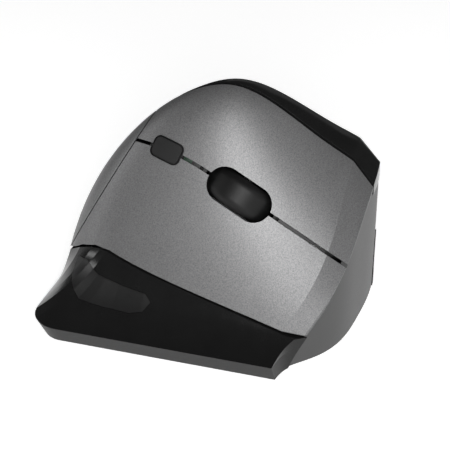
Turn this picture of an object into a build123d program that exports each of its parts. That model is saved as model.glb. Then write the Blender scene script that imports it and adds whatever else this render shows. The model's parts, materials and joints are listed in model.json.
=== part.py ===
from build123d import *
from math import atan2, cos, degrees, radians, sin, sqrt
import os

# Right-handed upright computer mouse, in millimetres.
# +X is the finger side, +Y is away from the user, +Z is up.
# The origin is on the desk, under the middle of the box.

# ---- overall body
FLANGE_WIDTH = 74.0        # across the two side flanges
BODY_LENGTH = 103.0        # front wall to rear flange
CREST_HEIGHT = 79.5        # top of the ridge above the desk
FRONT_HEIGHT = 51.0        # ridge height where it meets the front wall
RIM_HEIGHT = 7.2           # widest line of the flange
BASE_GAP = 0.8             # underside of the tray above the desk, taken up by the feet
UNDERCUT = 3.0             # how far the tray's underside draws in from the rim

# ---- form of the upper body
SUMMIT_FORWARD = 5.5       # the ridge's highest point, forward of the middle
RIDGE_LEFT = 14.0          # the ridge stands this far to the thumb side of the middle
RIDGE_SKEW = 0.30          # and drifts this much further per millimetre forward
RIDGE_FALL = 1.4           # power of the ridge's fall towards the front
FINGER_BASE = 31.0         # finger side's reach at desk level
FINGER_SHOULDER = 0.30     # share of the width over which the finger side leaves the ridge level
FINGER_FOOT = 0.43         # share of the height over which the finger side keeps its foot angle
FINGER_ANGLE = 64.0        # foot angle of the finger side
THUMB_BASE = 28.0          # thumb side's reach at desk level
THUMB_SKEW = 0.10          # and its drift per millimetre forward
THUMB_SHOULDER = 9.0       # roundness of the thumb side at the ridge
THUMB_SCOOP = 0.30         # share of the height over which the thumb side stands upright
REAR_SETBACK = 0.7         # rear of the upper body, ahead of the rear flange
REAR_POWER = 1.8           # roundness of the rear in side view
REAR_PLAN_POWER = 3.0      # roundness of the rear in plan
REAR_LEFT_CORNER = 20.0    # plan radii of the flange's rear corners
REAR_RIGHT_CORNER = 11.0

# ---- front surface, an upright wall that sweeps back towards the fingers
NOSE_X = -22.0             # its foremost line
NOSE_SWEEP = [(-26.0, -6.0), (-12.0, -1.2), (15.0, -1.0), (30.0, -3.4), (38.5, -7.4), (44.5, -12.4),
              (49.5, -16.6), (55.0, -18.4), (70.0, -20.0)]   # from the nose: across, back
CHAMFER_BACK = 5.0         # facet along every front edge, measured back from the front surface
CHAMFER_DEPTH = 2.1        # and down from the outer surface
FRONT_RECESS = 0.3         # front cover behind the front surface

# ---- seams
WALL = 2.0                 # moulded wall
LIP = 2.2                  # front lip of the shells
LIP_DEPTH = 3.3            # the lip's lower edge, below the outer surface
SEAM_GAP = 0.4             # groove between two fixed shells
RIDGE_SEAM_LEFT = 12.2     # ridge seam, to the thumb side of the middle
RIDGE_SEAM_SKEW = 0.12
SKIRT_SEAM_FRONT = 7.5     # height of the skirt seam at the front
SKIRT_SEAM_RISE = 0.238    # its climb per millimetre towards the rear
SKIRT_SEAM_TURN = 28.0     # it turns down again this far behind the middle
SKIRT_SEAM_DROP = 0.032    # and falls with the square of the distance
SKIRT_LEAST = 2.5          # least height of the skirt above the rim
SKIRT_HOLLOW_IN = 0.26     # where the skirt's hollow is deepest, across
SKIRT_HOLLOW_UP = 0.29     # and up
SKIRT_REAR_FULLER = 0.16   # added to both at the rear
SKIRT_THROAT = 6.0         # depth of the ring that the skirt is cut from

# ---- keys, slit and what sits in it (places ahead of and above the wheel, on the finger side)
SLIT_WIDTH = 1.2
SLIT_ASIDE = 0.3           # slit's line, above the wheel's middle
SLIT_BEND = (-12.0, -4.5)  # where the slit turns down behind the wheel, and how far down it ends
FLEX_LINE = -38.0          # line where the key tongues flex
FLEX_GAP = 0.3
RIDGE_GAP = 1.0            # groove along the ridge seam
SKIRT_GAP = 0.8            # groove along the skirt seam
CORNER_HEIGHT = 43.0       # thumb cover wraps onto the front above this
COVER_GAP = 1.0            # front cover inside the keys' lip
WHEEL_FORWARD = 12.7       # wheel, forward of the middle
WHEEL_AROUND = 0.50        # and its share of the way down the finger side
WHEEL_OPENING = (22.8, 11.8)
WHEEL_WIDTH = 10.6
WHEEL_RADIUS = 12.2
WHEEL_PROUD = 3.0          # how far the wheel stands out of the keys
TYRE_THICK = 3.6
TYRE_SHOULDER = 3.2
HUB_INSET = 0.4            # hub's ends inside the tyre's
AXLE_RADIUS = 1.1
RUNNING_GAP = 0.05         # axle in its bearings
DPI_SIZE = (9.4, 6.2)
DPI_AT = (-27.3, -1.3)
DPI_TURN = 8.0             # degrees
BUTTON_PROUD = 0.8         # buttons stand out of the shells
BUTTON_THICK = 3.4         # their underside, under the skin
BUTTON_FLANGE = 1.2
BUTTON_GAP = 0.3           # each thumb button in its opening
DPI_GAP = 0.6
BUTTON_TRAVEL = 0.4
BAR_ENDS = (15.0, 33.0)    # light bar in the slit
BAR_STEM = (20.0, 26.0)
BAR_DEPTH = 3.2
SLIT_FIT = 0.15            # light bar in the slit, each side

# ---- thumb buttons
THUMB_AT = (14.0, 50.0)    # middle of the pair: forward and up
THUMB_BUTTON = (18.4, 6.8)
THUMB_APART = 22.0

# ---- boards and switches
BOARD = 1.2                # thickness of every circuit board
KEY_BOARD_DEPTH = 15.0     # key board's face, under the skin at the wheel
KEY_BOARD = (-33.0, 32.5, -15.0, 11.0)   # rear, front, low and high edges
KEY_PLATE = (-34.0, 36.5, -13.0, 11.0)   # the same for the key frame's plate
PLATE_THICK = 1.8
KEY_LEGS = [(-8.0, -12.0), (-10.0, 40.0)]
LEG_RADIUS = 3.0
LEG_FOOT = 12.0            # height that the legs stand down to
KEY_NOTCH = (-11.8, 3.4)   # corner left out of the board and the plate, beside the thumb board
KEY_SCREWS = [(-19.5, -9.5), (12.0, 9.0), (29.8, 0.0)]
SNAP = (12.8, 5.8, 6.5)    # long snap switch: length, width, height
TACT = (6.0, 6.0, 2.6)     # small square switch
PLUNGER_RISE = 0.8
PLUNGER_SINK = 1.6         # plunger's part inside the switch
PLUNGER_GAP = 0.08
SNAP_PLUNGER = 1.1         # radii
TACT_PLUNGER = 1.6
PRESS_GAP = 0.12           # presser over its plunger at rest
KEY_SWITCH_AHEAD = 21.0
KEY_SWITCH_ASIDE = 7.4
CARRIER = (14.2, 6.9, -12.8, -6.5)       # half length, half width, underside and top
CARRIER_GAP = 0.4          # wheel inside its carrier
GUIDE_AT = 16.6
GUIDE_RADIUS = 1.2
GUIDE_GAP = 0.1
CLICK_SWITCH_ASIDE = -11.0
ENCODER = (4.0, 5.0, 3.0)  # half length, width and half height
THUMB_BOARD = (53.0, 9.0)
THUMB_BOARD_DEPTH = 8.0
THUMB_POST = (24.2, 2.0)   # place and radius

# ---- tray, battery and desk side
FLOOR = 2.2
FRONT_FOOT = (26.0, 7.0)
FRONT_FOOT_AT = (-2.0, 41.0)
REAR_FOOT_RADIUS = 4.5
REAR_FEET_AT = [(-27.5, -34.0), (27.0, -38.0)]
BATTERY_RADIUS = 7.1
BATTERY_LENGTH = 50.0
BATTERY_X = 8.0
BATTERY_LIFT = 0.5         # battery above the tray's floor
BATTERY_REAR = -38.0       # battery's rear end
CRADLE_GAP = 0.3
CRADLE_WALL = 1.4
CRADLE_HEIGHT = 7.5
SPRING_LENGTH = 4.2
CONTACT_THICK = 0.5
DOOR = (19.0, 1.2)         # width and thickness
DOOR_FRONT = 14.0
DOOR_FIT = 0.2
MAIN_BOARD = (-16.0, 15.5, 16.6, 35.0)   # left, right, rear and front edges
MAIN_BOARD_LIFT = 3.6      # its underside, above the floor
BOARD_POST = 2.0
BOARD_CORNER = 2.6         # board's screws, in from its corners
SENSOR = (0.0, 26.0)
SENSOR_PLATE = (13.0, 9.0, 1.0)
SENSOR_CHIP = (10.0, 8.0, 2.4)
LENS = (9.0, 6.0)
SCREW_RADIUS = 1.0
SCREW_HEAD = (1.9, 1.2)    # radius and height
PILOT_GAP = 0.02
SCREW_HOLE_GAP = 0.15
BASE_SCREW_LENGTH = 7.5
SKIRT_BOSSES = [(28.5, -27.0), (-31.0, 10.0)]
BOSS_RADIUS = 3.0
RECEIVER = (12.4, 18.8, 5.0)
RECEIVER_AT = (-14.5, -28.0)
RECEIVER_GAP = 0.25
BAY_WALL = 1.2
POWER_AT = (-20.0, 4.0)
POWER_KNOB = (3.2, 4.0)
POWER_TRAVEL = 2.5
KNOB_GAP = 0.15
POWER_BODY = (5.0, 10.0, 4.0)
RECEIVER_CAP = 6.8
LIGHT_AT = (-20.0, 14.0)
LIGHT_RADIUS = 1.2
CABLE = (8.0, 0.3)         # width and thickness

# ---- inlay on the skirt's finger side: forward and up, along its top and back along its underside
INLAY_TOP = [(-41.0, 21.5), (-36.5, 22.3), (-31.5, 20.2), (-22.5, 18.3), (-14.0, 17.3)]
INLAY_TIP = (-11.8, 15.4)
INLAY_LOW = [(-13.7, 13.0), (-18.0, 12.2), (-27.0, 12.6), (-36.0, 13.6), (-42.0, 16.4)]
INLAY_THICK = 0.9
INLAY_GAP = 0.1

FRONT_Y = BODY_LENGTH / 2
REAR_Y = -BODY_LENGTH / 2
FLANGE_X = FLANGE_WIDTH / 2
DOME_REAR_Y = REAR_Y + REAR_SETBACK
FAR = 200.0                # longer than anything in the model

os.makedirs("parts", exist_ok=True)


def save(name, *solids):
    """Writes one node: one solid, or a group of separate solids."""
    group = []
    for item in solids:
        group.extend(item.solids())
    shape = group[0] if len(group) == 1 else Compound(children=group)
    export_step(shape, f"parts/{name}.step")
    print(f"{name:24s} {len(group)} solids  {sum(s.volume for s in group):10.2f} mm3")


# ---- formulas of the outer form


def rear_closure(y, inset, power):
    """1 at the summit and ahead of it, falling to 0 at the rear of the upper body."""
    share = (SUMMIT_FORWARD - y) / (SUMMIT_FORWARD - DOME_REAR_Y - inset)
    share = min(max(share, 0.0), 0.99999)
    return (1 - share**power) ** (1 / power)


def ridge(y, inset=0.0):
    """Ridge point of the section at y: across and up."""
    ahead = max(0.0, (y - SUMMIT_FORWARD) / (FRONT_Y - SUMMIT_FORWARD))
    top = CREST_HEIGHT - (CREST_HEIGHT - FRONT_HEIGHT) * ahead**RIDGE_FALL - inset
    return -RIDGE_LEFT - RIDGE_SKEW * y, top * rear_closure(y, inset, REAR_POWER)


def finger_points(y, inset=0.0):
    """Control points of the finger side's curve, from the ridge down to desk level."""
    x, z = ridge(y, inset)
    spread = rear_closure(y, inset, REAR_PLAN_POWER)
    width = (FINGER_BASE - inset - x) * spread
    foot = FINGER_FOOT * z
    lean = radians(FINGER_ANGLE)
    return [(x, z), (x + FINGER_SHOULDER * width, z),
            (x + width - foot * cos(lean) * spread, foot * sin(lean)), (x + width, 0.0)]


def thumb_points(y, inset=0.0):
    """Control points of the thumb side's curve, from the ridge down to desk level."""
    x, z = ridge(y, inset)
    spread = rear_closure(y, inset, REAR_PLAN_POWER)
    width = (x + THUMB_BASE + THUMB_SKEW * y - inset) * spread
    return [(x, z), (x - THUMB_SHOULDER * spread, z), (x - width, THUMB_SCOOP * z), (x - width, 0.0)]


def bezier_at(points, t):
    """Point of a cubic Bezier curve."""
    share = [(1 - t) ** 3, 3 * t * (1 - t) ** 2, 3 * t * t * (1 - t), t**3]
    return tuple(sum(s * p[k] for s, p in zip(share, points)) for k in range(len(points[0])))


def solve(function, low, high, steps=40):
    """Root of a function that changes sign between low and high."""
    rising = function(high) > 0
    for _ in range(steps):
        middle = (low + high) / 2
        if (function(middle) > 0) == rising:
            high = middle
        else:
            low = middle
    return (low + high) / 2


def side_points(x, y, inset=0.0):
    """Control points of the side that x lies on."""
    return finger_points(y, inset) if x > ridge(y)[0] else thumb_points(y, inset)


def dome_height(x, y, inset=0.0):
    """Height of the upper body above a plan point, or less than 0 outside it."""
    if y <= DOME_REAR_Y + inset:
        return -1.0
    points = side_points(x, y, inset)
    if abs(x - points[0][0]) >= abs(points[3][0] - points[0][0]):
        return -1.0
    t = solve(lambda s: abs(bezier_at(points, s)[0] - points[0][0]) - abs(x - points[0][0]), 0.0, 1.0)
    return bezier_at(points, t)[1]


def skirt_seam(y):
    """Height of the seam between the upper shells and the skirt, on the finger side and round the rear."""
    past = max(0.0, -SKIRT_SEAM_TURN - y)
    height = SKIRT_SEAM_FRONT + SKIRT_SEAM_RISE * (FRONT_Y - y) - SKIRT_SEAM_DROP * past**2
    return max(height, RIM_HEIGHT + SKIRT_LEAST)


def ridge_seam(y):
    """Plan line of the seam between the finger shells and the thumb cover."""
    return -RIDGE_SEAM_LEFT - RIDGE_SEAM_SKEW * y


# The thumb side's skirt seam is level, at the height where the other one meets the ridge seam at the rear.
SEAM_MEETING_Y = solve(lambda y: dome_height(ridge_seam(y), y) - skirt_seam(y), DOME_REAR_Y + 0.01, -30.0)
THUMB_SEAM = skirt_seam(SEAM_MEETING_Y)


def seam_height(x, y):
    """Height of whichever skirt seam passes over this plan point."""
    return skirt_seam(y) if x > ridge_seam(y) else THUMB_SEAM


# ---- solids of the outer form


def dome(inset):
    """The upper body, drawn in by inset all over and open-ended at the front."""
    rear = DOME_REAR_Y + inset
    span = SUMMIT_FORWARD - rear
    stations = [FRONT_Y + 12, FRONT_Y, FRONT_Y - 14, FRONT_Y - 30, SUMMIT_FORWARD]
    stations += [SUMMIT_FORWARD - span * sin(radians(a)) for a in (13, 27, 40, 52, 62, 70, 77)]
    sections = []
    for y in stations:
        right = finger_points(y, inset)
        left = thumb_points(y, inset)
        over = Bezier(*[(x, y, z) for x, z in right])
        under = Line((right[3][0], y, 0.0), (left[3][0], y, 0.0))
        back = Bezier(*[(x, y, z) for x, z in reversed(left)])
        sections.append(Wire([over, under, back]))
    return Solid.make_loft(sections)


def front_region(offset, top=FAR):
    """Everything behind the front surface, moved back by offset."""
    points = [(NOSE_X + x, FRONT_Y + y - offset) for x, y in NOSE_SWEEP]
    curve = Spline(*points)
    corners = [points[-1], (FAR, points[-1][1]), (FAR, -FAR), (-FAR, -FAR), (-FAR, points[0][1]), points[0]]
    outline = Wire([curve.edge(), *Polyline(*corners).edges()])
    return extrude(Face(outline), top, dir=(0, 0, 1))



FRONT_CURVE = Spline(*[(NOSE_X + x, FRONT_Y + y) for x, y in NOSE_SWEEP])
FRONT_SAMPLES = [FRONT_CURVE.position_at(k / 200) for k in range(201)]


def front_y(x):
    """The front surface's place at x."""
    for a, b in zip(FRONT_SAMPLES, FRONT_SAMPLES[1:]):
        if x <= b.X:
            return a.Y + (b.Y - a.Y) * (x - a.X) / (b.X - a.X)
    return FRONT_SAMPLES[-1].Y


def front_edge_point(side, share, back, depth):
    """Point near the front edge: share of the way from the ridge to desk level, back, under the skin."""
    def at(y):
        points = side(y)
        x, z = bezier_at(points, share)
        ahead, behind = bezier_at(points, share + 0.001), bezier_at(points, share - 0.001)
        dx, dz = ahead[0] - behind[0], ahead[1] - behind[1]
        length = sqrt(dx * dx + dz * dz)
        turn = 1 if side is finger_points else -1
        normal = Vector(-dz * turn / length, 0, dx * turn / length)
        return Vector(x, y, z) - normal * depth, normal
    y = solve(lambda v: v - front_y(at(v)[0].X) + back, -20.0, FRONT_Y + 5)
    return at(y)


FACET_STATIONS = [(thumb_points, k) for k in (0.85, 0.65, 0.45, 0.25, 0.1)]
FACET_STATIONS += [(finger_points, k) for k in (0.05, 0.15, 0.28, 0.42, 0.56, 0.69, 0.8, 0.9)]


def facet_wedge(sunk=0.0):
    """What the facet along the front edge takes away, as a strip of triangles. sunk moves it under the skin."""
    sections = []
    for side, share in FACET_STATIONS:
        high, normal = front_edge_point(side, share, CHAMFER_BACK, sunk)
        low, _ = front_edge_point(side, share, 0.0, CHAMFER_DEPTH + sunk)
        slope = low - high
        start = high - slope * 0.8
        end = low + slope * 0.8
        sections.append(Polyline(start, end, end + normal * 16, close=True).wire())
    return Solid.make_loft(sections)


# ---- the flange and the skirt


def rim_room(x, y):
    """How far a plan point lies inside the rim, the flange's widest line."""
    corner = REAR_RIGHT_CORNER if x > 0 else REAR_LEFT_CORNER
    across = abs(x) - (FLANGE_X - corner)
    behind = (REAR_Y + corner) - y
    if across > 0 and behind > 0:
        return corner - sqrt(across**2 + behind**2)
    return min(FLANGE_X - abs(x), y - REAR_Y)


def skirt_stations():
    """Plan rays that the skirt's sections stand on: forward along each side, and fanned round the rear."""
    right, left = (FLANGE_X - 29, REAR_Y + 31), (-FLANGE_X + 27, REAR_Y + 31)
    front_right = front_y(FLANGE_X) + 8
    rays = [((right[0], y), 0.0) for y in (front_right, (front_right + right[1]) / 2 + 6, right[1] + 6)]
    rays += [(right, -a) for a in (0, 12, 22, 31, 40, 49, 58, 67, 78, 90)]
    rays += [(left, -a) for a in (90, 105, 120, 135, 150, 165, 180)]
    rays += [((left[0], y), -180.0) for y in (left[1] + 10, 5.0, 30.0, FRONT_Y + 8)]
    return rays


def skirt_section(spine, angle, inset):
    """Closed section of the skirt's ring on one plan ray. With an inset it is the hollow inside the skirt."""
    dx, dy = cos(radians(angle)), sin(radians(angle))

    def place(d, z):
        return Vector(spine[0] + d * dx, spine[1] + d * dy, z)

    def over_seam(d):
        p = place(d, 0)
        return dome_height(p.X, p.Y) - seam_height(p.X, p.Y)

    top_d = solve(over_seam, 2.0, 60.0)
    top = place(top_d, 0)
    top_z = seam_height(top.X, top.Y)
    rim_d = solve(lambda d: rim_room(place(d, 0).X, place(d, 0).Y), 2.0, 80.0)
    rearward = max(0.0, -dy) ** 2
    hollow_d = top_d + (SKIRT_HOLLOW_IN + SKIRT_REAR_FULLER * rearward) * (rim_d - top_d)
    hollow_z = RIM_HEIGHT + (SKIRT_HOLLOW_UP + SKIRT_REAR_FULLER * rearward) * (top_z - RIM_HEIGHT)
    inner_d = top_d - SKIRT_THROAT
    if not inset:
        curve = Bezier(place(top_d, top_z), place(hollow_d, hollow_z), place(rim_d, RIM_HEIGHT))
        rest = Polyline(place(rim_d, RIM_HEIGHT), place(inner_d, RIM_HEIGHT), place(inner_d, top_z),
                        place(top_d, top_z))
        return Wire([curve, *rest.edges()])
    slope = atan2(hollow_z - RIM_HEIGHT, rim_d - hollow_d)
    low_d, low_z = rim_d - inset * sin(slope), RIM_HEIGHT - inset * cos(slope)
    curve = Bezier(place(top_d - inset, top_z), place(hollow_d - inset * 0.8, hollow_z - inset * 0.6),
                   place(low_d, low_z))
    under, over = RIM_HEIGHT - inset - 3, top_z + 4
    rest = Polyline(place(low_d, low_z), place(low_d, under), place(inner_d - 1, under), place(inner_d - 1, over),
                    place(top_d - inset, over), place(top_d - inset, top_z))
    return Wire([curve, *rest.edges()])


def skirt_ring(inset=0.0):
    sections = [skirt_section(spine, angle, inset) for spine, angle in skirt_stations()]
    return Solid.make_loft(sections, ruled=True)


def rim_outline(inset, z):
    """Plan outline of the flange, drawn in by inset, running on past the front."""
    x, y = FLANGE_X - inset, REAR_Y + inset
    right, left = REAR_RIGHT_CORNER - inset, REAR_LEFT_CORNER - inset
    ahead = FRONT_Y + 20
    edges = [
        Line((x, ahead), (x, y + right)),
        RadiusArc((x, y + right), (x - right, y), right),
        Line((x - right, y), (-x + left, y)),
        RadiusArc((-x + left, y), (-x, y + left), left),
        Line((-x, y + left), (-x, ahead)),
        Line((-x, ahead), (x, ahead)),
    ]
    return Pos(0, 0, z) * Wire(edges)


def flange_body(inset, bottom, top):
    """Solid between the tray's underside outline and the rim, drawn in by inset."""
    def draw(z):
        return UNDERCUT * (RIM_HEIGHT - z) / (RIM_HEIGHT - BASE_GAP)
    outlines = [rim_outline(inset + draw(z), z) for z in (bottom, top)]
    return Solid.make_loft(outlines, ruled=True)



# ---- frames that the small parts are built in


def finger_frame(y, share):
    """Plane on the finger side: x forward along the surface, z out of it, y up towards the ridge."""
    def at(v, t):
        x, z = bezier_at(finger_points(v), t)
        return Vector(x, v, z)
    here = at(y, share)
    ahead = at(y + 35.0, share + 0.06) - here
    down = at(y, share + 0.001) - here
    out = down.cross(ahead)
    out = out if out.X > 0 else -out
    return Plane(origin=here, x_dir=ahead, z_dir=out)


def thumb_frame(y, height):
    """Plane on the thumb side: x forward along the surface, z out of it."""
    def at(v, t):
        x, z = bezier_at(thumb_points(v), t)
        return Vector(x, v, z)
    share = solve(lambda t: at(y, t).Z - height, 0.0, 1.0)
    here = at(y, share)
    ahead = at(y + 10.0, share) - here
    out = ahead.cross(at(y, share + 0.001) - here)
    out = out if out.X < 0 else -out
    return Plane(origin=here, x_dir=ahead, z_dir=out)


KEY = finger_frame(WHEEL_FORWARD, WHEEL_AROUND)
THUMB = thumb_frame(*THUMB_AT)
DESK = Plane.XY


def block(frame, low, high):
    """Box between two corners given in a frame."""
    size = [b - a for a, b in zip(low, high)]
    middle = [(a + b) / 2 for a, b in zip(low, high)]
    return frame * Pos(*middle) * Box(*size)


def rod(frame, base, radius, length, along="z"):
    """Cylinder that starts at base and runs along one of the frame's axes."""
    turn = {"x": Rot(0, 90, 0), "y": Rot(-90, 0, 0), "z": Rot(0, 0, 0)}[along]
    return frame * Pos(*base) * turn * Pos(0, 0, length / 2) * Cylinder(radius, length)


def rounded_prism(frame, size, corner, low, high, at=(0.0, 0.0)):
    """Rounded rectangle drawn on a frame and run from low to high along its z."""
    shape = RectangleRounded(size[0], size[1], min(corner, size[0] / 2 - 0.01, size[1] / 2 - 0.01))
    return frame * Pos(at[0], at[1], low) * extrude(shape, high - low)


def grown(size, gap):
    return tuple(v + 2 * gap for v in size)


# ---- the outer shells


def biggest(shape):
    return max(shape.solids(), key=lambda item: item.volume)


def above_skirt_seam(gap):
    """Everything over the finger side's skirt seam."""
    steps = [REAR_Y - 5 + k * (BODY_LENGTH + 30) / 24 for k in range(25)]
    seam = [(y, skirt_seam(y) + gap) for y in steps]
    outline = Polyline(*seam, (steps[-1], FAR), (steps[0], FAR), close=True)
    face = Plane.YZ * Face(outline.wire())
    return Pos(-FAR / 2, 0, 0) * extrude(face, FAR, dir=(1, 0, 0))


def beside_ridge_seam(gap, side):
    """Everything on one side of the ridge seam: +1 fingers, -1 thumb."""
    line = [(ridge_seam(y) + side * gap / 2, y) for y in (-FAR, FAR)]
    far = side * FAR
    outline = Polyline(line[0], line[1], (far, FAR), (far, -FAR), close=True)
    return extrude(Face(outline.wire()), FAR, dir=(0, 0, 1))


def beside_slit(gap, side):
    """Everything ahead of the flex line and on one side of the slit's curve: +1 ridge side, -1 desk side."""
    bend, drop = SLIT_BEND
    shift = SLIT_ASIDE + side * gap
    rear = FLEX_LINE + FLEX_GAP / 2
    curve = Bezier((bend, shift), ((bend + rear) / 2, shift), (rear, shift + drop))
    far = side * FAR
    rest = Polyline((rear, shift + drop), (rear, far), (FAR, far), (FAR, shift), (bend, shift))
    face = Face(Wire([curve, *rest.edges()]))
    return KEY * Pos(0, 0, -FAR / 2) * extrude(face, FAR, dir=(0, 0, 1))


outer = (dome(0.0) & front_region(0.0)) - facet_wedge()
cavity = (dome(WALL) & front_region(LIP)) - facet_wedge(WALL)
shell = outer - cavity
mouth = dome(LIP_DEPTH)
finger_shell = ((shell - mouth) & beside_ridge_seam(RIDGE_GAP, 1)) & above_skirt_seam(SKIRT_GAP)
wheel_hole = rounded_prism(KEY, WHEEL_OPENING, WHEEL_OPENING[1] / 2, -12, 12)
dpi_outline = KEY * Pos(*DPI_AT, 0) * Rot(0, 0, DPI_TURN)


def button_prism(frame, size, grow, low=-20.0, high=8.0):
    return rounded_prism(frame, grown(size, grow), 1.6 + grow, low, high)


def key_tongue(side):
    """One key: its share of the shell, and a presser that reaches down to its switch."""
    tongue = finger_shell & beside_slit(SLIT_WIDTH / 2, side)
    tongue = biggest(tongue - wheel_hole - button_prism(dpi_outline, DPI_SIZE, DPI_GAP))
    x, y = KEY_SWITCH_AHEAD, side * KEY_SWITCH_ASIDE
    low = -KEY_BOARD_DEPTH + SNAP[2] + PLUNGER_RISE + PRESS_GAP
    presser = block(KEY, (x - 1.5, y - 1.4, low), (x + 1.5, y + 1.4, 6)) & outer
    return biggest(tongue + presser)


palm_cover = biggest(finger_shell & block(KEY, (-FAR, -FAR, -FAR), (FLEX_LINE - FLEX_GAP / 2, FAR, FAR)))
save("palm_cover", palm_cover)
save("upper_key", key_tongue(1))
save("lower_key", key_tongue(-1))

# ---- front cover, inside the keys' lip, with the tray's pocket for it
cover_slab = front_region(FRONT_RECESS) - front_region(FRONT_RECESS + WALL)
front_cover = cover_slab & dome(LIP_DEPTH + COVER_GAP)
corner = beside_ridge_seam(-SEAM_GAP, -1) & block(DESK, (-FAR, -FAR, CORNER_HEIGHT - SEAM_GAP), (FAR, FAR, FAR))
under = block(DESK, (-FAR, -FAR, -1), (FAR, FAR, BASE_GAP + SEAM_GAP))
front_cover = biggest(front_cover - corner - under)
pocket = dome(LIP_DEPTH + COVER_GAP - SEAM_GAP) - front_region(FRONT_RECESS + WALL + SEAM_GAP)
save("front_cover", front_cover)


# ---- switches


def switch(name, frame, at, size, radius):
    """Switch standing on its board, and its plunger, which is a piece of its own."""
    x, y, base = at
    top = base + size[2]
    bore = rod(frame, (x, y, top - PLUNGER_SINK - 1.0), radius + PLUNGER_GAP, 10)
    half_long, half_wide = size[0] / 2, size[1] / 2
    case = block(frame, (x - half_long, y - half_wide, base), (x + half_long, y + half_wide, top)) - bore
    save(name, case)
    save(f"{name}_plunger", rod(frame, (x, y, top - PLUNGER_SINK), radius, PLUNGER_SINK + PLUNGER_RISE))


def button(frame, size, stem_end):
    """Button cap that follows the skin, with a flange under the shell and a stem down to its plunger."""
    cap = button_prism(frame, size, 0.0) & dome(-BUTTON_PROUD)
    flange = button_prism(frame, size, BUTTON_FLANGE) & dome(WALL + BUTTON_TRAVEL)
    body = (cap + flange) - dome(BUTTON_THICK)
    stem = block(frame, (-1.4, -1.4, stem_end), (1.4, 1.4, -1)) & dome(WALL)
    return biggest(body + stem)


# ---- thumb cover with its two buttons
thumb_mouth = mouth & block(DESK, (-FAR, -FAR, -1), (FAR, FAR, CORNER_HEIGHT))
thumb_cover = (shell - thumb_mouth) & beside_ridge_seam(RIDGE_GAP, -1)
thumb_cover = thumb_cover & block(DESK, (-FAR, -FAR, THUMB_SEAM + SEAM_GAP), (FAR, FAR, FAR))
thumb_cover = biggest(thumb_cover)
board_face = -THUMB_BOARD_DEPTH
thumb_stem_end = board_face + TACT[2] + PLUNGER_RISE + PRESS_GAP
thumb_screws = []
for end in (-1, 1):
    post = rod(THUMB, (end * THUMB_POST[0], 0, board_face), THUMB_POST[1], FAR) & outer
    thumb_cover = biggest(thumb_cover + post)
for end in (-1, 1):
    thumb_cover = thumb_cover - rod(THUMB, (end * THUMB_POST[0], 0, board_face), SCREW_RADIUS + PILOT_GAP, 4)
for name, end in (("thumb_forward", 1), ("thumb_back", -1)):
    here = THUMB * Pos(end * THUMB_APART / 2, 0, 0)
    thumb_cover = thumb_cover - button_prism(here, THUMB_BUTTON, BUTTON_GAP, low=-7)
    save(f"{name}_button", button(here, THUMB_BUTTON, thumb_stem_end))
    switch(f"{name}_switch", THUMB, (end * THUMB_APART / 2, 0, board_face), TACT, TACT_PLUNGER)
save("thumb_cover", biggest(thumb_cover))

half = (THUMB_BOARD[0] / 2, THUMB_BOARD[1] / 2)
thumb_board = block(THUMB, (-half[0], -half[1], board_face - BOARD), (half[0], half[1], board_face))


def screw(frame, at, length):
    """Screw whose head stands up from its place along the frame's z, with the shank going down."""
    x, y, z = at
    head = rod(frame, (x, y, z), SCREW_HEAD[0], SCREW_HEAD[1])
    return head + rod(frame, (x, y, z - length), SCREW_RADIUS, length)


thumb_back = THUMB * Pos(0, 0, board_face - BOARD) * Rot(180, 0, 0)
for end in (-1, 1):
    screw_hole = rod(THUMB, (end * THUMB_POST[0], 0, board_face - 5), SCREW_RADIUS + SCREW_HOLE_GAP, 9)
    thumb_board = thumb_board - screw_hole
    thumb_screws.append(screw(thumb_back, (end * THUMB_POST[0], 0, 0), BOARD + 3))
save("thumb_board", thumb_board)
save("thumb_board_screws", *thumb_screws)

# ---- DPI button over its switch on the key board
key_face = -KEY_BOARD_DEPTH
save("dpi_button", button(dpi_outline, DPI_SIZE, key_face + TACT[2] + PLUNGER_RISE + PRESS_GAP))
switch("dpi_switch", KEY, (*DPI_AT, key_face), TACT, TACT_PLUNGER)
for name, side in (("upper_switch", 1), ("lower_switch", -1)):
    switch(name, KEY, (KEY_SWITCH_AHEAD, side * KEY_SWITCH_ASIDE, key_face), SNAP, SNAP_PLUNGER)
switch("wheel_switch", KEY, (0, CLICK_SWITCH_ASIDE, key_face), TACT, TACT_PLUNGER)

# ---- light bar in the slit
low, high = SLIT_ASIDE - SLIT_WIDTH / 2 + SLIT_FIT, SLIT_ASIDE + SLIT_WIDTH / 2 - SLIT_FIT
light_bar = block(KEY, (BAR_ENDS[0], low, -9), (BAR_ENDS[1], high, 5)) & (dome(SLIT_FIT) - dome(BAR_DEPTH))
light_bar = light_bar + (block(KEY, (BAR_STEM[0], low, key_face), (BAR_STEM[1], high, 5)) & dome(1.0))
save("light_bar", biggest(light_bar))

# ---- wheel
wheel_depth = WHEEL_PROUD - WHEEL_RADIUS
hub_radius = WHEEL_RADIUS - TYRE_THICK
hub_half = WHEEL_WIDTH / 2 - HUB_INSET
hub = rod(KEY, (0, -hub_half, wheel_depth), hub_radius, 2 * hub_half, "y")
for start in (hub_half - 1.2, -hub_half - 1):
    hub = hub - rod(KEY, (0, start, wheel_depth), hub_radius - 1.6, 2.2, "y")
save("wheel_hub", hub - rod(KEY, (0, -FAR / 2, wheel_depth), AXLE_RADIUS, FAR, "y"))
barrel = Cylinder(WHEEL_RADIUS, WHEEL_WIDTH)
barrel = fillet(barrel.edges().filter_by(GeomType.CIRCLE), TYRE_SHOULDER) - Cylinder(hub_radius, FAR)
save("wheel_tyre", KEY * Pos(0, 0, wheel_depth) * Rot(90, 0, 0) * barrel)
bearing = AXLE_RADIUS + RUNNING_GAP
axle_end = CARRIER[1] + ENCODER[1]
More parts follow.
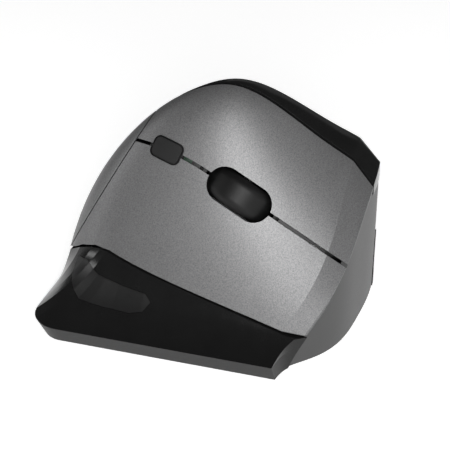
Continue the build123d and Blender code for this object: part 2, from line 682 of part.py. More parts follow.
save("wheel_axle", rod(KEY, (0, -CARRIER[1] - 0.6, wheel_depth), AXLE_RADIUS, axle_end + CARRIER[1] - 0.4, "y"))

half_long, half_wide, low, high = CARRIER
inside = WHEEL_WIDTH / 2 + CARRIER_GAP
carrier = block(KEY, (-half_long, -half_wide, low), (half_long, half_wide, high))
carrier = carrier - block(KEY, (-half_long + 1.2, -inside, low - 1), (half_long - 1.2, inside, high + 1))
for end in (-1, 1):
    ear = block(KEY, (end * GUIDE_AT - 2.2, -2.2, low), (end * GUIDE_AT + 2.2, 2.2, low + 2.5))
    carrier = carrier + ear - rod(KEY, (end * GUIDE_AT, 0, low - 1), GUIDE_RADIUS + GUIDE_GAP, 9)
arm_low = key_face + TACT[2] + PLUNGER_RISE + PRESS_GAP
carrier = carrier + block(KEY, (-1.5, CLICK_SWITCH_ASIDE - 1.2, arm_low), (1.5, -inside, arm_low + 3))
save("wheel_carrier", carrier - rod(KEY, (0, -half_wide - 0.7, wheel_depth), bearing, FAR, "y"))
encoder = block(KEY, (-ENCODER[0], half_wide, wheel_depth - ENCODER[2]),
                (ENCODER[0], half_wide + ENCODER[1], wheel_depth + ENCODER[2]))
save("wheel_encoder", encoder - rod(KEY, (0, -FAR / 2, wheel_depth), bearing, FAR, "y"))

# ---- key board on the key frame, whose legs stand on the tray
rear, front, low, high = KEY_BOARD
key_board = block(KEY, (rear, low, key_face - BOARD), (front, high, key_face))
plate_face = key_face - BOARD
rear, front, low, high = KEY_PLATE
key_frame = block(KEY, (rear, low, plate_face - PLATE_THICK), (front, high, plate_face))
for x, y in KEY_LEGS:
    under_plate = block(KEY, (-FAR, -FAR, -FAR), (FAR, FAR, plate_face - 0.5))
    key_frame = key_frame + (rod(DESK, (x, y, LEG_FOOT), LEG_RADIUS, FAR) & under_plate)
wheel_reach = WHEEL_RADIUS + 1.0
wheel_room = block(KEY, (-wheel_reach, -inside, -FAR / 2), (wheel_reach, inside, -CARRIER_GAP))
for end in (-1, 1):
    key_frame = key_frame + rod(KEY, (end * GUIDE_AT, 0, plate_face - 1), GUIDE_RADIUS, -wheel_depth + 1.6)
    key_board = key_board - rod(KEY, (end * GUIDE_AT, 0, plate_face - 1), GUIDE_RADIUS + GUIDE_GAP, 5)
key_screws = []
for x, y in KEY_SCREWS:
    key_board = key_board - rod(KEY, (x, y, plate_face - 1), SCREW_RADIUS + SCREW_HOLE_GAP, 5)
    key_frame = key_frame - rod(KEY, (x, y, plate_face - PLATE_THICK - 1), SCREW_RADIUS + PILOT_GAP, 5)
    key_screws.append(screw(KEY, (x, y, key_face), BOARD + PLATE_THICK))
for x, y in KEY_LEGS:
    key_frame = key_frame - rod(DESK, (x, y, LEG_FOOT - 1), SCREW_RADIUS + PILOT_GAP, BASE_SCREW_LENGTH + 2)
notch = block(KEY, (-FAR, KEY_NOTCH[1], plate_face - PLATE_THICK - 1), (KEY_NOTCH[0], FAR, key_face + 1))
save("key_board", key_board - wheel_room - notch)
save("key_frame", biggest(key_frame - wheel_room - notch))
save("frame_screws", *key_screws)

# ---- side skirt and its inlay
ring = skirt_ring() & front_region(0.0)
hollow = skirt_ring(WALL) & front_region(LIP + 1)
skirt = biggest(ring - hollow - pocket)
base_screws = []
for x, y in SKIRT_BOSSES:
    boss = rod(DESK, (x, y, RIM_HEIGHT), BOSS_RADIUS, FAR) & ring
    skirt = biggest(skirt + boss) - rod(DESK, (x, y, 0), SCREW_RADIUS + PILOT_GAP, RIM_HEIGHT + 4)


def inlay_prism(gap):
    """The inlay's outline, run out through the finger side."""
    outline = Polyline(*INLAY_TOP, INLAY_TIP, *INLAY_LOW, close=True)
    face = Face(outline.wire())
    face = offset(face, gap, kind=Kind.INTERSECTION) if gap else face
    return extrude(Plane.YZ * Pos(0, 0, 12) * face, FAR, dir=(1, 0, 0))


recess = biggest((inlay_prism(INLAY_GAP) & ring) - skirt_ring(INLAY_THICK + INLAY_GAP))
inlay = biggest((inlay_prism(0.0) & ring) - skirt_ring(INLAY_THICK))
skirt = biggest(skirt - recess)
save("skirt_inlay", inlay)
save("side_skirt", skirt)

# ---- tray
floor_top = BASE_GAP + FLOOR
tray = flange_body(0.0, BASE_GAP, RIM_HEIGHT) & front_region(0.0)
tray = tray - (flange_body(WALL, floor_top, RIM_HEIGHT) & front_region(LIP + WALL)) - pocket
bosses = [(x, y, LEG_FOOT) for x, y in KEY_LEGS] + [(x, y, RIM_HEIGHT) for x, y in SKIRT_BOSSES]
for x, y, top in bosses:
    tray = tray + rod(DESK, (x, y, BASE_GAP), BOSS_RADIUS, top - BASE_GAP)
for x, y, top in bosses:
    tray = tray - rod(DESK, (x, y, -1), SCREW_RADIUS + SCREW_HOLE_GAP, top + 2)
    head_seat = top - BASE_SCREW_LENGTH + 3.0
    tray = tray - rod(DESK, (x, y, -1), SCREW_HEAD[0] + SCREW_HOLE_GAP, head_seat + 1)
    base_screws.append(screw(DESK * Pos(x, y, head_seat) * Rot(180, 0, 0), (0, 0, 0), BASE_SCREW_LENGTH))
save("base_screws", *base_screws)

battery_z = floor_top + BATTERY_LIFT + BATTERY_RADIUS
half_bay = BATTERY_RADIUS + CRADLE_GAP
bay_rear = BATTERY_REAR - SPRING_LENGTH
bay_front = BATTERY_REAR + BATTERY_LENGTH + CONTACT_THICK
cradle_top = floor_top + CRADLE_HEIGHT
cradle = block(DESK, (BATTERY_X - half_bay - CRADLE_WALL, bay_rear - CRADLE_WALL, BASE_GAP),
               (BATTERY_X + half_bay + CRADLE_WALL, bay_front + CRADLE_WALL, cradle_top))
bay = block(DESK, (BATTERY_X - half_bay, bay_rear, -1), (BATTERY_X + half_bay, bay_front, cradle_top + 1))
door_half = DOOR[0] / 2
door_rear = REAR_Y + UNDERCUT
door_recess = block(DESK, (BATTERY_X - door_half - DOOR_FIT, REAR_Y - 5, -1),
                    (BATTERY_X + door_half + DOOR_FIT, DOOR_FRONT + DOOR_FIT, BASE_GAP + DOOR[1] + DOOR_FIT / 2))
tray = (tray + cradle) - bay - door_recess
door_top = BASE_GAP + DOOR[1]
door = block(DESK, (BATTERY_X - door_half, door_rear, BASE_GAP), (BATTERY_X + door_half, DOOR_FRONT, door_top))
for k in range(4):
    y = DOOR_FRONT - 5 - 1.6 * k
    door = door - block(DESK, (BATTERY_X - 4, y - 0.4, 0), (BATTERY_X + 4, y + 0.4, BASE_GAP + 0.4))
save("battery_door", door)
save("battery", rod(DESK, (BATTERY_X, BATTERY_REAR, battery_z), BATTERY_RADIUS, BATTERY_LENGTH - 1, "y")
     + rod(DESK, (BATTERY_X, BATTERY_REAR + BATTERY_LENGTH - 1.5, battery_z), 2.7, 1.5, "y"))
save("battery_contact", block(DESK, (BATTERY_X - 4, bay_front - CONTACT_THICK, floor_top + 2),
                              (BATTERY_X + 4, bay_front, cradle_top + 2)))
helix = Helix(SPRING_LENGTH / 3.5, SPRING_LENGTH - 0.9, 3.2)
coil = sweep(Plane(helix @ 0, z_dir=helix % 0) * Circle(0.3), path=helix)
save("battery_spring", Pos(BATTERY_X, bay_rear + 0.4, battery_z) * Rot(-90, 0, 0) * coil)

# ---- sensor, main board and what sits on it
sensor_x, sensor_y = SENSOR
plate_hole = RectangleRounded(SENSOR_PLATE[0] + 0.2, SENSOR_PLATE[1] + 0.2, 2.1)
tray = tray - Pos(sensor_x, sensor_y, BASE_GAP - 1) * extrude(plate_hole, SENSOR_PLATE[2] + 1)
tray = tray - block(DESK, (sensor_x - 4, sensor_y - 3, -1), (sensor_x + 4, sensor_y + 3, floor_top + 1))
window = rounded_prism(DESK, SENSOR_PLATE[:2], 2, BASE_GAP, BASE_GAP + SENSOR_PLATE[2], SENSOR)
save("sensor_window", window - rod(DESK, (*SENSOR, -1), 2.0, 5))
board_low = floor_top + MAIN_BOARD_LIFT
board_top = board_low + BOARD
left, right, rear, front = MAIN_BOARD
main_board = block(DESK, (left, rear, board_low), (right, front, board_top))
main_board = main_board - block(DESK, (sensor_x - 3, sensor_y - 3, 0), (sensor_x + 3, sensor_y + 3, FAR))
board_screws = []
for x in (left + BOARD_CORNER, right - BOARD_CORNER):
    for y in (rear + BOARD_CORNER, front - BOARD_CORNER):
        tray = tray + rod(DESK, (x, y, BASE_GAP + 0.5), BOARD_POST, board_low - BASE_GAP - 0.5)
        tray = tray - rod(DESK, (x, y, floor_top), SCREW_RADIUS + PILOT_GAP, MAIN_BOARD_LIFT + 1)
        main_board = main_board - rod(DESK, (x, y, 0), SCREW_RADIUS + SCREW_HOLE_GAP, FAR)
        board_screws.append(screw(DESK, (x, y, board_top), BOARD + 3))
save("main_board", main_board)
save("board_screws", *board_screws)
half = [v / 2 for v in SENSOR_CHIP[:2]]
save("sensor_chip", block(DESK, (sensor_x - half[0], sensor_y - half[1], board_top),
                          (sensor_x + half[0], sensor_y + half[1], board_top + SENSOR_CHIP[2])))
lens = block(DESK, (sensor_x - LENS[0] / 2, sensor_y - LENS[1] / 2, floor_top),
             (sensor_x + LENS[0] / 2, sensor_y + LENS[1] / 2, board_low))
lens = lens + rod(DESK, (*SENSOR, board_low), 2.2, BOARD - 0.1)
save("sensor_lens", lens - rod(DESK, (*SENSOR, 0), 1.0, floor_top + 1))

# ---- power switch with its slider, status light, USB receiver in its bay
x, y = POWER_AT
knob = (POWER_KNOB[0] / 2, POWER_KNOB[1] / 2)
travel = POWER_TRAVEL
slot = block(DESK, (x - knob[0] - KNOB_GAP, y - knob[1] - KNOB_GAP, -1),
             (x + knob[0] + KNOB_GAP, y + knob[1] + travel + KNOB_GAP, floor_top + 1))
tray = tray - slot
slider = block(DESK, (x - knob[0], y - knob[1], BASE_GAP + 0.1), (x + knob[0], y + knob[1], floor_top))
slider = slider + block(DESK, (x - 0.6, y - 1.2, floor_top - 0.5), (x + 0.6, y + 1.2, floor_top + 2))
save("power_slider", slider)
body = block(DESK, (x - POWER_BODY[0] / 2, y - POWER_BODY[1] / 2 + travel / 2, floor_top),
             (x + POWER_BODY[0] / 2, y + POWER_BODY[1] / 2 + travel / 2, floor_top + POWER_BODY[2]))
stem_slot = block(DESK, (x - 0.75, y - 1.35, 0), (x + 0.75, y + 1.35 + travel, floor_top + 2.2))
save("power_switch", body - stem_slot)
tray = tray - rod(DESK, (*LIGHT_AT, -1), LIGHT_RADIUS, FLOOR + 3)
save("status_light", rod(DESK, (*LIGHT_AT, BASE_GAP + 0.1), LIGHT_RADIUS, 5))
x, y = RECEIVER_AT
wide, long, tall = RECEIVER
room = RECEIVER_GAP
bay_top = BASE_GAP + 0.4 + tall + room
tray = tray + block(DESK, (x - wide / 2 - room - BAY_WALL, y - long / 2 - room - BAY_WALL, BASE_GAP),
                    (x + wide / 2 + room + BAY_WALL, y + long / 2 + room + BAY_WALL, bay_top + BAY_WALL))
tray = tray - block(DESK, (x - wide / 2 - room, y - long / 2 - room, -1),
                    (x + wide / 2 + room, y + long / 2 + room, bay_top))
save("receiver_cap", block(DESK, (x - wide / 2, y - long / 2, BASE_GAP + 0.4),
                           (x + wide / 2, y - long / 2 + RECEIVER_CAP, BASE_GAP + 0.4 + tall)))
save("receiver_plug", block(DESK, (x - wide / 2 + 0.2, y - long / 2 + RECEIVER_CAP, BASE_GAP + 0.6),
                            (x + wide / 2 - 0.2, y + long / 2, BASE_GAP + 0.2 + tall)))
save("base_tray", biggest(tray))

# ---- feet
foot = rounded_prism(DESK, FRONT_FOOT, FRONT_FOOT[1] / 2, 0, BASE_GAP, FRONT_FOOT_AT)
save("front_foot", foot)
save("rear_feet", *[rod(DESK, (x, y, 0), REAR_FOOT_RADIUS, BASE_GAP) for x, y in REAR_FEET_AT])

# ---- flat cable from the key board down to the main board
top = KEY.from_local_coords(Vector(-3, KEY_BOARD[2] + 0.2, plate_face - 0.6))
turn_y = MAIN_BOARD[2] + 1.5
route = Polyline((top.Y, top.Z), (turn_y, top.Z - 14), (turn_y, board_top + 1), (turn_y + 3, board_top + 0.3))
strip = extrude(Plane.YZ * trace(route, CABLE[1]), CABLE[0], dir=(1, 0, 0))
save("ribbon_cable", Pos(top.X - 2, 0, 0) * strip)
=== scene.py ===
import json
from math import cos, radians, sin

import bpy
from mathutils import Matrix, Vector


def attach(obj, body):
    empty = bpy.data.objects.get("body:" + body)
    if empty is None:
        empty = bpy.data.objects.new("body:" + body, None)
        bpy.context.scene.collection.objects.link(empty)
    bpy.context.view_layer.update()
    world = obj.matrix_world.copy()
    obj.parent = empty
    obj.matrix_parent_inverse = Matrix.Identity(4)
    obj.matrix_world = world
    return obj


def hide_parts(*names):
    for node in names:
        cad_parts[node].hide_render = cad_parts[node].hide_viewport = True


bl_info = {
    "name": "Upright Mouse Studio",
    "version": (1, 0, 0),
    "blender": (4, 5, 0),
    "location": "3D View > Sidebar > Mouse",
    "description": "Finishes for an upright wireless mouse, with its wheel, seams and studio",
    "category": "Object",
}

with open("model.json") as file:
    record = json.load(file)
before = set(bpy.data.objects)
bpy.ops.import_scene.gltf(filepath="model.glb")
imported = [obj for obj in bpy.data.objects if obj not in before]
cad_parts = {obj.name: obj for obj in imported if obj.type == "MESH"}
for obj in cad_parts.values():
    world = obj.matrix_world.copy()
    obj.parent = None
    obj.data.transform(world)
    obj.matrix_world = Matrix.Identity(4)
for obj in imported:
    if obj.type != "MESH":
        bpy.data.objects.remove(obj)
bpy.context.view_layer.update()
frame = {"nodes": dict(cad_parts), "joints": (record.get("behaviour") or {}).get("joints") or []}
NODES = frame["nodes"]
MM = 0.001
# Soft lights: name, place in metres, size in metres, share of the key light's power.
LIGHTS = (
    ("key_light", (0.85, 0.30, 0.50), (0.45, 0.45), 1.0),
    ("front_light", (0.1, 0.8, 0.55), (0.6, 0.3), 0.1),
    ("rear_strip", (0.25, -0.8, 0.35), (0.12, 0.5), 0.12),
    ("back_wash", (-0.9, 0.1, 0.75), (1.0, 0.5), 0.06),
)
FLOOR_REACH = 6.0


def joint_axis(name):
    """A joint's place and direction."""
    joint = next(j for j in frame["joints"] if j["name"] == name)
    place = Vector(joint.get("pos_m", (0, 0, 0)))
    return place, Vector(joint["axis"]).normalized()


WHEEL_PLACE, WHEEL_AXIS = joint_axis("wheel_spin")
PRESS_IN = joint_axis("wheel_click")[1]
FORWARD = WHEEL_AXIS.cross(-PRESS_IN).normalized()


# ---- shader maths


class Field:
    """A socket in a material's tree, so that patterns can be written as sums and products."""

    def __init__(self, tree, socket):
        self.tree = tree
        self.socket = socket

    def node(self, kind, *inputs, out=0, **settings):
        """Any other node: its settings by name, its inputs in order (None leaves one alone)."""
        made = self.tree.nodes.new(kind)
        for key, value in settings.items():
            setattr(made, key, value)
        for slot, value in zip(made.inputs, inputs):
            if value is not None:
                plug(self.tree, value, slot)
        return Field(self.tree, made.outputs[out])

    def maths(self, operation, *others):
        return self.node("ShaderNodeMath", self, *others, operation=operation)

    def __add__(self, other):
        return self.maths("ADD", other)

    def __sub__(self, other):
        return self.maths("SUBTRACT", other)

    def __mul__(self, other):
        return self.maths("MULTIPLY", other)

    def __truediv__(self, other):
        return self.maths("DIVIDE", other)

    def __radd__(self, other):
        return self + other

    def __rmul__(self, other):
        return self * other

    def __rsub__(self, other):
        return (self * -1.0) + other

    def above(self, edge, soft):
        """0 below the edge, 1 above it, with a soft step between."""
        step = (self - edge) / soft + 0.5
        return step.maths("MINIMUM", 1.0).maths("MAXIMUM", 0.0)

    def blend(self, low, high):
        """Mix of two greys or colours, by this field."""
        mixed = self.node("ShaderNodeMix", data_type="RGBA", out=2)
        node = mixed.socket.node
        plug(self.tree, self, node.inputs[0])
        plug(self.tree, low, node.inputs[6])
        plug(self.tree, high, node.inputs[7])
        return mixed

    def noise(self, scale, detail=3.0, rough=0.5):
        made = self.node("ShaderNodeTexNoise", self)
        node = made.socket.node
        node.inputs["Scale"].default_value = scale
        node.inputs["Detail"].default_value = detail
        node.inputs["Roughness"].default_value = rough
        return made

    def cells(self, scale):
        made = self.node("ShaderNodeTexVoronoi", self)
        made.socket.node.inputs["Scale"].default_value = scale
        return made


def plug(tree, value, slot):
    if isinstance(value, Field):
        tree.links.new(value.socket, slot)
    elif isinstance(value, tuple):
        slot.default_value = (*value, 1.0) if len(value) == 3 and len(slot.default_value) == 4 else value
    else:
        slot.default_value = (value,) * 3 + (1.0,) if hasattr(slot.default_value, "__len__") else value


class Finish:
    """A material built on one principled shader."""

    def __init__(self, name, **constants):
        self.material = bpy.data.materials.new(name)
        self.material.use_nodes = True
        self.tree = self.material.node_tree
        self.shader = self.tree.nodes["Principled BSDF"]
        for key, value in constants.items():
            self.shader.inputs[key.replace("_", " ")].default_value = value
        coordinates = self.tree.nodes.new("ShaderNodeTexCoord")
        self.place = Field(self.tree, coordinates.outputs["Object"])

    def set(self, name, value):
        plug(self.tree, value, self.shader.inputs[name])

    def bump(self, height, strength, distance):
        made = self.tree.nodes.new("ShaderNodeBump")
        made.inputs["Strength"].default_value = strength
        made.inputs["Distance"].default_value = distance
        plug(self.tree, height, made.inputs["Height"])
        self.tree.links.new(made.outputs["Normal"], self.shader.inputs["Normal"])


def grey(value, tint=0.0):
    return (value, value, value * (1 + tint))


def metallic_paint(value, flake):
    """Grey paint with fine flakes, for the keys and the palm cover."""
    finish = Finish("metallic_paint", IOR=1.45, Coat_Weight=0.12, Coat_Roughness=0.35)
    flakes = finish.place.noise(2600.0, 2.0, 0.7)
    cloud = finish.place.noise(60.0, 3.0)
    tone = flakes.above(0.5, 0.5) * flake + cloud * 0.12 + (1.0 - flake * 0.5 - 0.06)
    shade = tone * value
    finish.set("Base Color", tone.node("ShaderNodeCombineColor", shade, shade, shade * 1.01))
    finish.set("Metallic", flakes.above(0.45, 0.6) * 0.2 + 0.5)
    finish.set("Roughness", cloud * 0.08 + 0.44)
    finish.bump(flakes, 0.25, 0.00003)
    return finish.material


def gloss_black(value):
    """Polished black plastic, with faint wear in its gloss."""
    finish = Finish("gloss_black", IOR=1.5, Specular_IOR_Level=0.3)
    wear = finish.place.noise(140.0, 4.0, 0.6)
    specks = finish.place.cells(1500.0).above(0.04, 0.03)
    finish.set("Base Color", wear.blend(grey(value), grey(value * 1.6)))
    finish.set("Roughness", wear * 0.12 + 0.1 + (1.0 - specks) * 0.15)
    finish.bump(finish.place.noise(90.0, 2.0), 0.04, 0.0002)
    return finish.material


def satin_plastic(name, value, rough, grain_size=1800.0, grain_depth=0.00004, shine=0.5):
    """Moulded plastic with a fine spark-eroded grain."""
    finish = Finish(name, IOR=1.47, Specular_IOR_Level=shine)
    grain = finish.place.noise(grain_size, 3.0, 0.6)
    cloud = finish.place.noise(45.0, 3.0)
    finish.set("Base Color", (cloud * 0.6 + grain * 0.4).blend(grey(value * 0.8), grey(value * 1.25)))
    finish.set("Roughness", grain * 0.12 + rough)
    finish.bump(grain, 0.3, grain_depth)
    return finish.material


def rubber_skin(value):
    """Soft rubber with dust in its pores."""
    finish = Finish("wheel_rubber", IOR=1.5, Specular_IOR_Level=0.28)
    pores = finish.place.noise(1500.0, 4.0, 0.7)
    dust = finish.place.cells(900.0).above(0.05, 0.02)
    finish.set("Base Color", dust.blend(grey(value * 3.0), pores.blend(grey(value * 0.7), grey(value * 1.3))))
    finish.set("Roughness", pores * 0.15 + 0.42)
    finish.bump(pores, 0.3, 0.00005)
    return finish.material


def smoke_clear(value):
    finish = Finish("smoke_clear", IOR=1.5, Specular_IOR_Level=0.2)
    streaks = finish.place.noise(300.0, 2.0)
    finish.set("Base Color", streaks.blend(grey(value * 0.6), grey(value * 1.5)))
    finish.set("Roughness", streaks * 0.1 + 0.3)
    return finish.material


def brushed_steel(value):
    finish = Finish("steel", Metallic=1.0)
    lines = finish.place.noise(2200.0, 2.0, 0.8)
    finish.set("Base Color", lines.blend(grey(value * 0.85), grey(value)))
    finish.set("Roughness", lines * 0.2 + 0.22)
    finish.bump(lines, 0.1, 0.00002)
    return finish.material


def coloured_plastic(name, low, high, rough):
    """Moulded or lacquered plastic between two close colours."""
    finish = Finish(name, IOR=1.48)
    cloud = finish.place.noise(220.0, 4.0, 0.6)
    finish.set("Base Color", cloud.blend(low, high))
    finish.set("Roughness", cloud * 0.12 + rough)
    finish.bump(finish.place.noise(1600.0, 2.0), 0.15, 0.00003)
    return finish.material


# ---- settings


class MouseFinishSettings(bpy.types.PropertyGroup):
    paint: bpy.props.FloatProperty(name="Paint", description="Grey of the keys", default=0.165, min=0, max=1)
    flake: bpy.props.FloatProperty(name="Flake", description="Strength of the metallic flakes", default=0.8)
    black: bpy.props.FloatProperty(name="Black", description="Grey of the polished black", default=0.006)
    front: bpy.props.FloatProperty(name="Front", description="Grey of the front cover", default=0.055)
    tray: bpy.props.FloatProperty(name="Tray", description="Grey of the base tray", default=0.012)


class MouseWheelSettings(bpy.types.PropertyGroup):
    radius: bpy.props.FloatProperty(
        name="Radius", description="Outside radius of the tyre",
        default=12.2 * MM, unit="LENGTH", subtype="DISTANCE")
    width: bpy.props.FloatProperty(
        name="Width", description="Width of the tyre", default=10.6 * MM, unit="LENGTH", subtype="DISTANCE")
    shoulder: bpy.props.FloatProperty(
        name="Shoulder", description="Radius of the tyre's rounded shoulders",
        default=3.2 * MM, unit="LENGTH")
    steps: bpy.props.IntProperty(name="Steps", description="Stations round the tyre", default=96, min=24)


class MouseStageSettings(bpy.types.PropertyGroup):
    turn: bpy.props.FloatProperty(
        name="Turn", description="Camera's bearing from +X towards +Y",
        default=radians(17.175), subtype="ANGLE")
    rise: bpy.props.FloatProperty(
        name="Rise", description="Camera's height angle", default=radians(30.486), subtype="ANGLE")
    distance: bpy.props.FloatProperty(
        name="Distance", description="Camera to its target", default=0.430, unit="LENGTH")
    target: bpy.props.FloatVectorProperty(
        name="Target", description="Point in the middle of the view",
        default=(0.0205, 0.0123, 0.0446), unit="LENGTH")
    lens: bpy.props.FloatProperty(name="Lens", description="Focal length in millimetres", default=110.28)
    key: bpy.props.FloatProperty(name="Key light", description="Power of the key light in watts", default=9.0)
    fill: bpy.props.FloatProperty(name="Fill", description="Brightness of the surroundings", default=0.09)
    floor_glow: bpy.props.FloatProperty(
        name="Floor glow", description="Light the floor adds of its own", default=0.62)


# ---- pieces


def paint(node, material):
    """Gives a node's mesh its finish."""
    mesh = NODES[node].data
    mesh.materials.clear()
    mesh.materials.append(material)


def paint_all(material, *names):
    for name in names:
        if name in NODES:
            paint(name, material)


def finished_object(name, mesh, material, body):
    """A finished piece that rides on a body."""
    piece = bpy.data.objects.new(name, mesh)
    bpy.context.scene.collection.objects.link(piece)
    mesh.materials.clear()
    mesh.materials.append(material)
    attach(piece, body)
    return piece


class MOUSE_OT_shells(bpy.types.Operator):
    """Paint for the keys and the palm cover"""
    bl_idname = "mouse.shells"
    bl_label = "Keys and Palm Cover"

    def execute(self, context):
        settings = context.scene.mouse_finish
        coat = metallic_paint(settings.paint, settings.flake)
        paint_all(coat, "palm_cover", "upper_key", "lower_key")
        return {"FINISHED"}


class MOUSE_OT_gloss(bpy.types.Operator):
    """Polish for the thumb cover and the skirt"""
    bl_idname = "mouse.gloss"
    bl_label = "Thumb Cover and Skirt"

    def execute(self, context):
        settings = context.scene.mouse_finish
        paint_all(gloss_black(settings.black), "thumb_cover", "side_skirt")
        paint_all(satin_plastic("inlay_black", settings.black * 1.2, 0.3), "skirt_inlay")
        return {"FINISHED"}


class MOUSE_OT_front(bpy.types.Operator):
    """Satin front cover and the tray under it"""
    bl_idname = "mouse.front"
    bl_label = "Front Cover and Tray"

    def execute(self, context):
        settings = context.scene.mouse_finish
        paint_all(satin_plastic("front_satin", settings.front, 0.4, shine=0.4), "front_cover")
        tray = satin_plastic("tray_black", settings.tray, 0.42, 1100.0, 0.00006, 0.3)
        paint_all(tray, "base_tray", "battery_door", "sensor_window")
        return {"FINISHED"}


class MOUSE_OT_buttons(bpy.types.Operator):
    """Finishes for the buttons, the slider and the light bar"""
    bl_idname = "mouse.buttons"
    bl_label = "Buttons and Light Bar"

    def execute(self, context):
        cap = satin_plastic("button_black", 0.012, 0.42, shine=0.35)
        paint_all(cap, "dpi_button", "thumb_forward_button", "thumb_back_button", "power_slider")
        paint_all(smoke_clear(0.01), "light_bar", "status_light", "sensor_lens")
        return {"FINISHED"}


def tyre_tree():
    """Nodes that turn a rounded profile round the wheel's axle."""
    tree = bpy.data.node_groups.new("tyre_rule", "GeometryNodeTree")
    face = tree.interface
    for label, kind in (("Radius", "NodeSocketFloat"), ("Width", "NodeSocketFloat"),
                        ("Shoulder", "NodeSocketFloat"),
                        ("Steps", "NodeSocketInt"), ("Finish", "NodeSocketMaterial")):
        face.new_socket(label, in_out="INPUT", socket_type=kind)
    face.new_socket("Geometry", in_out="OUTPUT", socket_type="NodeSocketGeometry")
    add, link = tree.nodes.new, tree.links.new
    source, result = add("NodeGroupInput"), add("NodeGroupOutput")

    def maths(operation, *values):
        made = add("ShaderNodeMath")
        made.operation = operation
        for slot, value in zip(made.inputs, values):
            if isinstance(value, bpy.types.NodeSocket):
                link(value, slot)
            else:
                slot.default_value = value
        return made.outputs[0]

    radius, width, shoulder = (source.outputs[k] for k in ("Radius", "Width", "Shoulder"))
    path = add("GeometryNodeCurvePrimitiveCircle")
    link(source.outputs["Steps"], path.inputs["Resolution"])
    tall = maths("MULTIPLY", shoulder, 2.0)
    link(maths("SUBTRACT", radius, shoulder), path.inputs["Radius"])
    profile = add("GeometryNodeCurvePrimitiveQuadrilateral")
    link(tall, profile.inputs["Width"])
    link(width, profile.inputs["Height"])
    soft = add("GeometryNodeFilletCurve")
    soft.mode = "POLY"
    soft.inputs["Count"].default_value = 10
    link(profile.outputs[0], soft.inputs["Curve"])
    link(maths("MULTIPLY", shoulder, 0.96), soft.inputs["Radius"])
    sweep = add("GeometryNodeCurveToMesh")
    link(path.outputs[0], sweep.inputs["Curve"])
    link(soft.outputs[0], sweep.inputs["Profile Curve"])
    smooth = add("GeometryNodeSetShadeSmooth")
    link(sweep.outputs[0], smooth.inputs[0])
    realize = add("GeometryNodeRealizeInstances")
    link(smooth.outputs[0], realize.inputs[0])
    finish = add("GeometryNodeSetMaterial")
    link(realize.outputs[0], finish.inputs["Geometry"])
    link(source.outputs["Finish"], finish.inputs["Material"])
    link(finish.outputs[0], result.inputs[0])
    return tree


def grown_mesh(name, tree, values):
    """Plain mesh that a node tree makes from its named inputs."""
    host = bpy.data.objects.new(name, bpy.data.meshes.new(name))
    bpy.context.scene.collection.objects.link(host)
    modifier = host.modifiers.new(name, "NODES")
    modifier.node_group = tree
    for item in tree.interface.items_tree:
        if item.in_out == "INPUT":
            modifier[item.identifier] = values[item.name]
    depsgraph = bpy.context.evaluated_depsgraph_get()
    mesh = bpy.data.meshes.new_from_object(host.evaluated_get(depsgraph), depsgraph=depsgraph)
    host.modifiers.remove(modifier)
    bpy.data.objects.remove(host)
    return mesh


class MOUSE_OT_wheel(bpy.types.Operator):
    """Crowned rubber tyre and the hub in it"""
    bl_idname = "mouse.wheel"
    bl_label = "Scroll Wheel"

    def execute(self, context):
        settings = context.scene.mouse_wheel
        rubber = rubber_skin(0.004)
        values = {"Radius": settings.radius, "Width": settings.width, "Shoulder": settings.shoulder,
                  "Steps": settings.steps, "Finish": rubber}
        mesh = grown_mesh("tyre", tyre_tree(), values)
        turn = Matrix((FORWARD, -PRESS_IN, WHEEL_AXIS)).transposed().to_4x4()
        mesh.transform(Matrix.Translation(WHEEL_PLACE) @ turn)
        tyre = finished_object("wheel_tyre_rubber", mesh, rubber, "wheel")
        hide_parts("wheel_tyre")
        paint_all(satin_plastic("hub_black", 0.03, 0.3), "wheel_hub")
        return {"FINISHED"}


class MOUSE_OT_inside(bpy.types.Operator):
    """Finishes for the pieces inside"""
    bl_idname = "mouse.inside"
    bl_label = "Inside"

    def execute(self, context):
        names = list(NODES)
        moulded = satin_plastic("frame_black", 0.035, 0.45)
        paint_all(moulded, "key_frame", "wheel_carrier", "wheel_axle")
        board = coloured_plastic("board_green", (0.01, 0.09, 0.035), (0.02, 0.16, 0.06), 0.3)
        paint_all(board, "key_board", "main_board", "thumb_board")
        case = satin_plastic("switch_case", 0.05, 0.4)
        paint_all(case, "wheel_encoder", "sensor_chip", "receiver_cap")
        paint_all(case, *(n for n in names if n.endswith("switch")))
        red = coloured_plastic("switch_red", (0.35, 0.03, 0.02), (0.5, 0.05, 0.04), 0.35)
        paint_all(red, *(n for n in names if n.endswith("plunger")))
        steel = brushed_steel(0.6)
        paint_all(steel, "battery_spring", "battery_contact", "receiver_plug")
        paint_all(steel, *(n for n in names if n.endswith("screws")))
        paint_all(coloured_plastic("cell_wrap", (0.05, 0.14, 0.25), (0.09, 0.22, 0.36), 0.25), "battery")
        paint_all(coloured_plastic("ribbon", (0.5, 0.5, 0.48), (0.65, 0.65, 0.62), 0.4), "ribbon_cable")
        paint_all(satin_plastic("foot_slick", 0.16, 0.28), "front_foot", "rear_feet")
        return {"FINISHED"}


def area_light(name, place, target, size, power):
    """Soft square light that faces its target."""
    lamp = bpy.data.lights.new(name, "AREA")
    lamp.shape = "RECTANGLE"
    lamp.size, lamp.size_y = size
    lamp.energy = power
    holder = bpy.data.objects.new(name, lamp)
    bpy.context.scene.collection.objects.link(holder)
    holder.location = place
    holder.rotation_mode = "QUATERNION"
    holder.rotation_quaternion = (Vector(target) - Vector(place)).to_track_quat("-Z", "Y")
    return holder


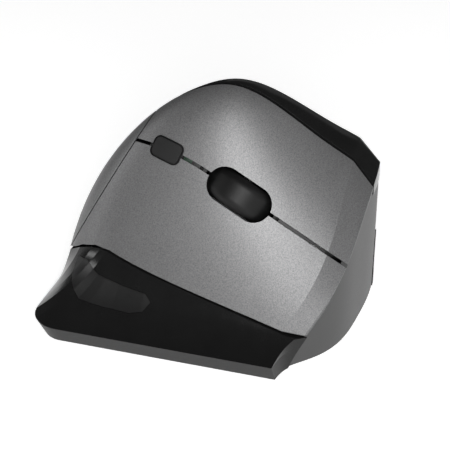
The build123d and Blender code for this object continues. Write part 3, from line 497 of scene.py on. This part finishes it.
class MOUSE_OT_studio(bpy.types.Operator):
    """Pale floor, soft lights and the camera"""
    bl_idname = "mouse.studio"
    bl_label = "Studio"

    def execute(self, context):
        settings = context.scene.mouse_stage
        floor_mesh = bpy.data.meshes.new("floor")
        far = FLOOR_REACH
        corners = [(-far, -far, 0), (far, -far, 0), (far, far, 0), (-far, far, 0)]
        floor_mesh.from_pydata(corners, [], [(0, 1, 2, 3)])
        floor = bpy.data.objects.new("floor", floor_mesh)
        context.scene.collection.objects.link(floor)
        pale = Finish("floor_pale", Roughness=0.9, Emission_Strength=settings.floor_glow)
        pale.set("Emission Color", (1.0, 1.0, 1.0))
        pale.set("Base Color", pale.place.noise(3.0).blend(grey(0.88), grey(0.92)))
        floor_mesh.materials.append(pale.material)
        world = bpy.data.worlds.new("studio")
        context.scene.world = world
        world.use_nodes = True
        world.node_tree.nodes["Background"].inputs[0].default_value = (1, 1, 1, 1)
        world.node_tree.nodes["Background"].inputs[1].default_value = settings.fill
        middle = settings.target
        for name, place, size, share in LIGHTS:
            area_light(name, place, middle, size, settings.key * share)
        context.scene.view_settings.view_transform = "Standard"
        camera = bpy.data.cameras.new("camera")
        camera.sensor_fit = "HORIZONTAL"
        camera.sensor_width = 36.0
        camera.lens = settings.lens
        camera.clip_start, camera.clip_end = 0.01, 50.0
        holder = bpy.data.objects.new("camera", camera)
        context.scene.collection.objects.link(holder)
        flat = cos(settings.rise)
        back = Vector((flat * cos(settings.turn), flat * sin(settings.turn), sin(settings.rise)))
        holder.location = Vector(middle) + back * settings.distance
        holder.rotation_mode = "QUATERNION"
        holder.rotation_quaternion = (-back).to_track_quat("-Z", "Y")
        context.scene.camera = holder
        return {"FINISHED"}


class MOUSE_PT_panel(bpy.types.Panel):
    """Pieces of the mouse, in the sidebar"""
    bl_idname = "MOUSE_PT_panel"
    bl_label = "Upright Mouse"
    bl_space_type = "VIEW_3D"
    bl_region_type = "UI"
    bl_category = "Mouse"

    def draw(self, context):
        for operator in OPERATORS:
            self.layout.operator(operator.bl_idname)
        for group in ("mouse_finish", "mouse_wheel", "mouse_stage"):
            settings = getattr(context.scene, group)
            for key in settings.__annotations__:
                self.layout.prop(settings, key)


GROUPS = {
    "mouse_finish": MouseFinishSettings,
    "mouse_wheel": MouseWheelSettings,
    "mouse_stage": MouseStageSettings,
}
OPERATORS = (MOUSE_OT_shells, MOUSE_OT_gloss, MOUSE_OT_front, MOUSE_OT_buttons, MOUSE_OT_wheel, MOUSE_OT_inside,
             MOUSE_OT_studio)


def register():
    for item in (*GROUPS.values(), *OPERATORS, MOUSE_PT_panel):
        bpy.utils.register_class(item)
    for name, group in GROUPS.items():
        setattr(bpy.types.Scene, name, bpy.props.PointerProperty(type=group))


def unregister():
    for name in GROUPS:
        delattr(bpy.types.Scene, name)
    for item in (MOUSE_PT_panel, *reversed(OPERATORS), *GROUPS.values()):
        bpy.utils.unregister_class(item)


def main():
    register()
    for operator in OPERATORS:
        group, name = operator.bl_idname.split(".")
        getattr(getattr(bpy.ops, group), name)()


if __name__ == "__main__":
    main()
